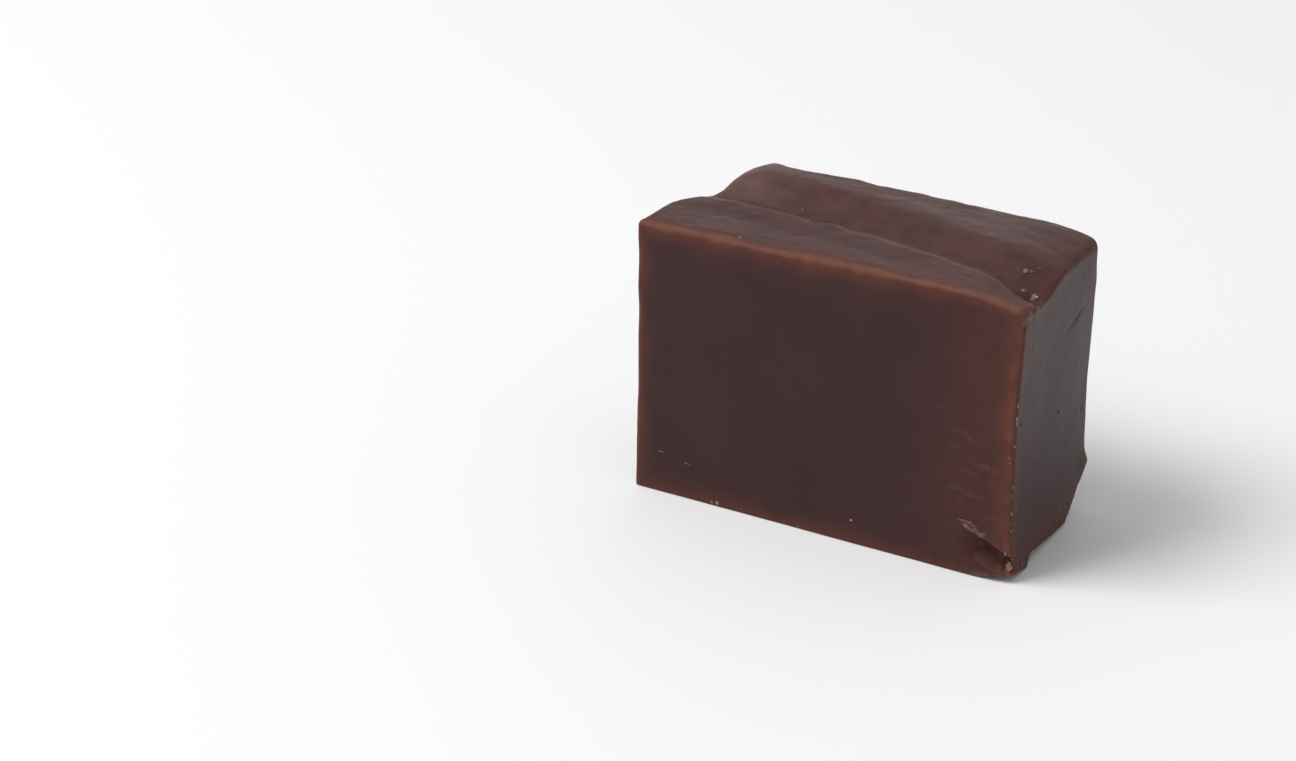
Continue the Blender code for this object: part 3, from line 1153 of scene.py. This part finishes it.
# Slivers: where, size, how long they are for their width, how pale, and their slope in degrees.
SLIVERS = (
    ((12.35, FRONT, 4.5), 0.15, 7.0, 0.15, -4),
    ((13.0, FRONT, 4.3), 0.12, 5.5, 0.0, -12),
    ((12.7, FRONT, 3.98), 0.15, 5.5, 0.2, -20),
    ((13.9, FRONT, 3.8), 0.12, 4.5, 0.0, -8),
    ((-13.9, FRONT, 3.6), 0.12, 3.5, 0.1, -4),
    ((-11.4, FRONT, 3.1), 0.11, 5.0, 0.1, -16),
    ((HALF, 1.85, 2.2), 0.16, 3.5, 0.3, 80),
)
EDGE_TONES = (0.5, 0.8)
DUST = 44
DUST_SIZE = (0.05, 0.12)
DUST_TONES = (0.3, 0.9)
DUST_SPREAD = 0.35
# Up to these shares the dust lies beside the right end's front edge, at the foot and on the top.
DUST_SHARES = (0.45, 0.65, 0.8)
DUST_HIGH = (1.0, 16.0)
DUST_ALONG = (-12.0, 15.5)
CRUMB_SEED = 7


def dust_spot(draw):
    """A spot beside one of the knife edges, where the finest dust gathers."""
    share = draw.random()
    inset = abs(draw.gauss(0, DUST_SPREAD))
    if share < DUST_SHARES[0]:
        return (HALF - inset, FRONT, draw.uniform(*DUST_HIGH))
    if share < DUST_SHARES[1]:
        return (draw.uniform(*DUST_ALONG), FRONT, inset)
    if share < DUST_SHARES[2]:
        return (draw.uniform(-HALF, HALF), draw.uniform(FRONT, -FRONT), HEIGHT + 1.0)
    return (HALF, draw.uniform(FRONT, -FRONT), draw.uniform(1.0, HEIGHT))


def make_crumbs(seed):
    """All the crumbs as one object."""
    draw = random.Random(seed)
    grid = bmesh.new()
    tones = []
    for spot, size, tone in NAMED_CRUMBS:
        cluster(grid, tones, spot, size, tone, draw)
    for z, size, stretch in EDGE_CRUMBS:
        spot = (HALF, FRONT, z)
        tone = draw.uniform(*EDGE_TONES)
        crumb(grid, tones, *settle(spot), size, tone, draw, stretch, math.pi / 2)
    for spot, size, stretch, tone, slope in SLIVERS:
        crumb(grid, tones, *settle(spot), size, tone, draw, stretch, math.radians(slope))
    for _ in range(DUST):
        spot = dust_spot(draw)
        size = draw.uniform(*DUST_SIZE)
        crumb(grid, tones, *settle(spot), size, draw.uniform(*DUST_TONES), draw)
    made = make_object("crumbs", grid, smooth=False)
    put_attribute(made.data, "tone", tones)
    return made


crumbs = make_crumbs(CRUMB_SEED)
print("crumbs:", len(crumbs.data.polygons), "triangles")

# %% [markdown]
# ## A few helpers for nodes
#
# A material made in code reads best when each node is one line. These helpers add a node and fill its
# inputs by name, with a value or with a link. A value that is the same all over goes straight on the
# shader's socket.

# %% Node helpers
def fill(tree, socket, value):
    """Links another node's output to a socket, or puts a number or colour on it."""
    if isinstance(value, bpy.types.NodeSocket):
        tree.links.new(value, socket)
    else:
        socket.default_value = value


def add_node(tree, kind, settings=None, **inputs):
    """Adds a node, sets its properties and fills its inputs."""
    made = tree.nodes.new(kind)
    for key, value in (settings or {}).items():
        setattr(made, key, value)
    for key, value in inputs.items():
        fill(tree, made.inputs[key.replace("_", " ")], value)
    return made


def new_material(name):
    """A material with a plain Principled surface, and its node tree."""
    material = bpy.data.materials.new(name)
    material.use_nodes = True
    return material, material.node_tree


def dress(tree, **inputs):
    """Fills the inputs of the Principled surface by name."""
    for key, value in inputs.items():
        fill(tree, tree.nodes["Principled BSDF"].inputs[key.replace("_", " ")], value)


def blend(tree, share, first, second):
    """A colour that goes from first to second with share."""
    made = add_node(tree, "ShaderNodeMix", {"data_type": "RGBA"})
    for index, value in ((0, share), (6, first), (7, second)):
        fill(tree, made.inputs[index], value)
    return made.outputs[2]


def arithmetic(tree, operation, first, second):
    """One Math node."""
    made = add_node(tree, "ShaderNodeMath", {"operation": operation})
    fill(tree, made.inputs[0], first)
    fill(tree, made.inputs[1], second)
    return made.outputs[0]


def attribute(tree, name):
    """The number that each point of the mesh carries under this name."""
    return add_node(tree, "ShaderNodeAttribute", {"attribute_name": name}).outputs["Fac"]


def ramp(tree, value, start, end, low_value=0.0, high_value=1.0):
    """The value mapped from start..end to low..high, smoothly and without overshoot."""
    limits = {"From_Min": start, "From_Max": end, "To_Min": low_value, "To_Max": high_value}
    smoothly = {"interpolation_type": "SMOOTHSTEP"}
    return add_node(tree, "ShaderNodeMapRange", smoothly, Value=value, **limits).outputs["Result"]


def millimetres(tree, stretch=(1.0, 1.0, 1.0)):
    """The object's own coordinates in millimetres, optionally stretched along an axis."""
    coordinates = tree.nodes.new("ShaderNodeTexCoord").outputs["Object"]
    scale = [1 / MM / s for s in stretch]
    return add_node(tree, "ShaderNodeMapping", None, Vector=coordinates, Scale=scale).outputs[0]


def noise_of(tree, where, scale, detail, roughness=0.5):
    """A noise from 0 to 1, with scale as its waves per millimetre."""
    settings = {"Scale": scale, "Detail": detail, "Roughness": roughness}
    return add_node(tree, "ShaderNodeTexNoise", None, Vector=where, **settings).outputs["Fac"]


# %% [markdown]
# ## The fudge's surface
#
# Dark fudge is nearly black inside, but light that enters near an edge comes out again as a warm reddish
# brown, so a cut face has a glowing rim, which is painted into the colour. The poured top is drier and
# greyer. The colour is a row of blends, each with one of the attributes as its share, and noise makes the
# painted rim uneven. Real subsurface scattering is on as well, but on its own it is too even, and it takes
# far longer to come out clean.

# %% Make the fudge material
CORE = (0.0345, 0.0098, 0.0098, 1.0)
CORE_WARM = (0.039, 0.0112, 0.0105, 1.0)
# The rim and edge colours paint the glow of the edges into the colour.
PAINTED_RIM_GLOW = (0.11, 0.03, 0.0155, 1.0)
PAINTED_EDGE_GLOW = (0.145, 0.06, 0.039, 1.0)
DRY_TOP = (0.076, 0.0275, 0.0215, 1.0)
TORN = (0.068, 0.02, 0.0135, 1.0)
# The pale colour of frayed, dry and worn places, also used for the painted highlights and sheen.
FRAYED_AND_HIGHLIGHT = (0.225, 0.14, 0.114, 1.0)
# Each noise: its waves per millimetre, its detail and its roughness.
PATCHES = (0.16, 3.0)
GRAIN = (6.0, 3.0, 0.6)
STREAKS = (1.0, 4.0, 0.6)
STREAK_STRETCH = (2.0, 1.0, 1.0)
UNEVEN = (0.7, 3.0)
# Each ramp: where it starts and ends, and its values there.
WARM_PATCHES = (0.35, 0.65)
RIM_CHANGE = (0.3, 0.7, 0.85, 1.15)
EDGE_IN_RIM = (0.7, 1.25)
DRY_STREAKS = (0.3, 0.75, 0.35, 1.0)
DRY_IN_RIM = (0.0, 1.0, 1.0, 0.15)
# Waxy, a little rougher along the rims, with a faint cool gloss.
ROUGHNESS = (0.3, 0.7, 0.42, 0.5)
RIM_ROUGHER = (0.3, 1.1, 0.0, 0.25)
GLOSS = 0.265
GLOSS_TINT = (0.97, 0.95, 1.0, 1.0)
SCATTERED = 0.35
SCATTER_REACH = (1.0, 0.35, 0.2)
GRAIN_STRENGTH = 0.12
GRAIN_HEIGHT = 0.02


def fudge_material():
    """Dark fudge: its colours, with the painted glow and highlights, from the shares on the mesh, its gloss
    and its fine grain.
    """
    material, tree = new_material("dark_fudge")
    where = millimetres(tree)
    grain = noise_of(tree, where, *GRAIN)
    streaks = noise_of(tree, millimetres(tree, STREAK_STRETCH), *STREAKS)

    uneven = ramp(tree, noise_of(tree, where, *UNEVEN), *RIM_CHANGE)
    painted_rim = arithmetic(tree, "MULTIPLY", attribute(tree, "painted_glow"), uneven)
    patches = ramp(tree, noise_of(tree, where, *PATCHES), *WARM_PATCHES)
    colour = blend(tree, patches, CORE, CORE_WARM)
    # The painted glow of the rims, brightest right at the edge.
    colour = blend(tree, painted_rim, colour, PAINTED_RIM_GLOW)
    colour = blend(tree, ramp(tree, painted_rim, *EDGE_IN_RIM), colour, PAINTED_EDGE_GLOW)
    streaky = ramp(tree, streaks, *DRY_STREAKS)
    dry = arithmetic(tree, "MULTIPLY", attribute(tree, "poured"), streaky)
    dry = arithmetic(tree, "MULTIPLY", dry, ramp(tree, painted_rim, *DRY_IN_RIM))
    colour = blend(tree, dry, colour, DRY_TOP)
    colour = blend(tree, attribute(tree, "torn"), colour, TORN)
    # Thin, dry and worn places go pale, and so do the painted highlights and sheen.
    colour = blend(tree, attribute(tree, "pale_and_highlight"), colour, FRAYED_AND_HIGHLIGHT)

    rough = ramp(tree, grain, *ROUGHNESS)
    rough = arithmetic(tree, "ADD", rough, ramp(tree, painted_rim, *RIM_ROUGHER))
    dress(tree, Base_Color=colour, Roughness=rough)
    dress(tree, Specular_IOR_Level=GLOSS, Specular_Tint=GLOSS_TINT)
    dress(tree, Subsurface_Weight=SCATTERED, Subsurface_Radius=SCATTER_REACH, Subsurface_Scale=MM)

    relief = {"Height": grain, "Strength": GRAIN_STRENGTH, "Distance": GRAIN_HEIGHT * MM}
    bump = add_node(tree, "ShaderNodeBump", None, **relief)
    dress(tree, Normal=bump.outputs[0])
    return material


fudge.data.materials.append(fudge_material())
print("fudge surface:", len(fudge.data.materials[0].node_tree.nodes), "nodes")

# %% [markdown]
# ## The crumbs' surface
#
# A crumb is broken fudge: rougher in shape, but with small flat breaks that catch the light. Its colour
# goes from brown to pale with the tone of each point, so one crumb has light and dark sides.

# %% Make the crumb material
CRUMB_DARK = (0.11, 0.05, 0.037, 1.0)
CRUMB_PALE = (0.36, 0.235, 0.175, 1.0)
CRUMB_ROUGHNESS = 0.3
CRUMB_MOTTLE = (4.0, 3.0)
MOTTLED_TONE = (0.3, 0.65, 0.5, 1.0)


def crumb_material():
    """Broken fudge, from brown to pale with the tone of each point."""
    material, tree = new_material("fudge_crumb")
    mottle = ramp(tree, noise_of(tree, millimetres(tree), *CRUMB_MOTTLE), *MOTTLED_TONE)
    share = arithmetic(tree, "MULTIPLY", attribute(tree, "tone"), mottle)
    dress(tree, Base_Color=blend(tree, share, CRUMB_DARK, CRUMB_PALE), Roughness=CRUMB_ROUGHNESS)
    return material


crumbs.data.materials.append(crumb_material())
print("crumb surface:", len(crumbs.data.materials[0].node_tree.nodes), "nodes")

# %% [markdown]
# ## What each object stands for
#
# The frame has to know what the new meshes are. Both belong to the one body, and both take the place of the
# imported solid.

# %% Tell the frame what stands for what
for piece in (fudge, crumbs):
    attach(piece, BODY)
    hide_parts(SOLID)
    print(piece.name, "replaces", SOLID)

# %% [markdown]
# ## A plain floor
#
# Food is shown on something plain and pale. The floor is one grid, wide enough that its end never shows,
# and too matt to mirror the fudge. It matters for the look as well: a dark, slightly glossy face shows
# mostly what it mirrors, and the front of the piece mirrors this floor.

# %% Floor
FLOOR_SIDE = 4.0
FLOOR_COLOUR = (0.93, 0.93, 0.93, 1.0)
FLOOR_ROUGHNESS = 0.7
FLOOR_GLOSS = 0.1


def make_floor():
    """A pale, matt floor, with its top at Z 0."""
    grid = bmesh.new()
    bmesh.ops.create_grid(grid, x_segments=4, y_segments=4, size=FLOOR_SIDE / 2)
    floor = make_object("floor", grid)
    material, tree = new_material("pale_floor")
    dress(tree, Base_Color=FLOOR_COLOUR, Roughness=FLOOR_ROUGHNESS, Specular_IOR_Level=FLOOR_GLOSS)
    floor.data.materials.append(material)
    return floor


make_floor()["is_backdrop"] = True
print("floor:", FLOOR_SIDE, "m wide")

# %% [markdown]
# ## Soft light
#
# A large soft light stands high on the left and in front, as a window would, and a weak one far behind
# lifts the back edge. The rest comes from an even, slightly cool world. Small lights would put hard white
# spots on the fudge and make it look wet or like plastic.

# %% Light
WORLD_COLOUR = (0.97, 0.98, 1.0, 1.0)
WORLD_STRENGTH = 0.5
# For each light: its place, its aim and its side in millimetres, then its watts and its colour.
LIGHTS = {
    "overhead_softbox": ((-470, -400, 740), (0, 0, 0), 540, 7.0, (1.0, 0.995, 0.985)),
    "back_softbox": ((-300, 860, 260), (0, 0, 10), 400, 0.35, (1.0, 0.98, 0.96)),
}


def make_world(colour, strength):
    """An even light from all round."""
    world = bpy.data.worlds.new("studio")
    world.use_nodes = True
    background = world.node_tree.nodes["Background"]
    background.inputs["Color"].default_value = colour
    background.inputs["Strength"].default_value = strength
    bpy.context.scene.world = world


def make_light(name, place, aim, side, power, colour):
    """A square soft light that faces the point it is aimed at."""
    data = bpy.data.lights.new(name, "AREA")
    data.shape = "SQUARE"
    data.size = side * MM
    data.energy = power
    data.color = colour
    light = bpy.data.objects.new(name, data)
    light.location = Vector(place) * MM
    way = Vector(aim) - Vector(place)
    light.rotation_euler = way.to_track_quat("-Z", "Y").to_euler()
    bpy.context.scene.collection.objects.link(light)


make_world(WORLD_COLOUR, WORLD_STRENGTH)
for name, values in LIGHTS.items():
    make_light(name, *values)
print("lights:", ", ".join(LIGHTS))

# %% [markdown]
# ## The camera
#
# A close view from a little above shows the front, the top and the right end together. The camera is set by
# its direction from the piece, its distance and its lens, as a photographer would. Lens and distance
# together decide how strongly the far edges draw together. The aim lies left of the piece, so that the
# piece stands in the right half of the picture.

# %% Camera
AZIMUTH = math.radians(30.2)
ELEVATION = math.radians(24.6)
ROLL = math.radians(0.3)
AIM = Vector((-13.7696, -9.8705, 10.77))
DISTANCE = 186.85
LENS = 66.67
SENSOR = 36.0


def make_camera():
    """The camera, turned to its direction and set back from its aim."""
    data = bpy.data.cameras.new("camera")
    data.lens = LENS
    data.sensor_width = SENSOR
    data.clip_start = 0.01
    camera = bpy.data.objects.new("camera", data)
    level = math.cos(ELEVATION)
    back = Vector((math.sin(AZIMUTH) * level, -math.cos(AZIMUTH) * level, math.sin(ELEVATION)))
    turn = back.to_track_quat("Z", "Y").to_matrix() @ Matrix.Rotation(ROLL, 3, "Z")
    camera.matrix_world = Matrix.Translation((AIM + back * DISTANCE) * MM) @ turn.to_4x4()
    bpy.context.scene.collection.objects.link(camera)
    bpy.context.scene.camera = camera


make_camera()
bpy.context.scene.view_settings.view_transform = "Standard"
print("camera:", [round(part / MM, 1) for part in bpy.context.scene.camera.location], "mm")

# %% [markdown]
# ## Both boxes, side by side
#
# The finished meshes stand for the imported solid, so they may not be larger or smaller than it by more
# than a hair. The box from the start and the box of the finished piece are written down together, so they
# can be compared.

# %% Write both boxes
boxes = {"solid": solid_box, "visual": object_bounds()}
for name, (low, high) in boxes.items():
    print(name, "box, mm:", [round((b - a) / MM, 2) for a, b in zip(low, high)])
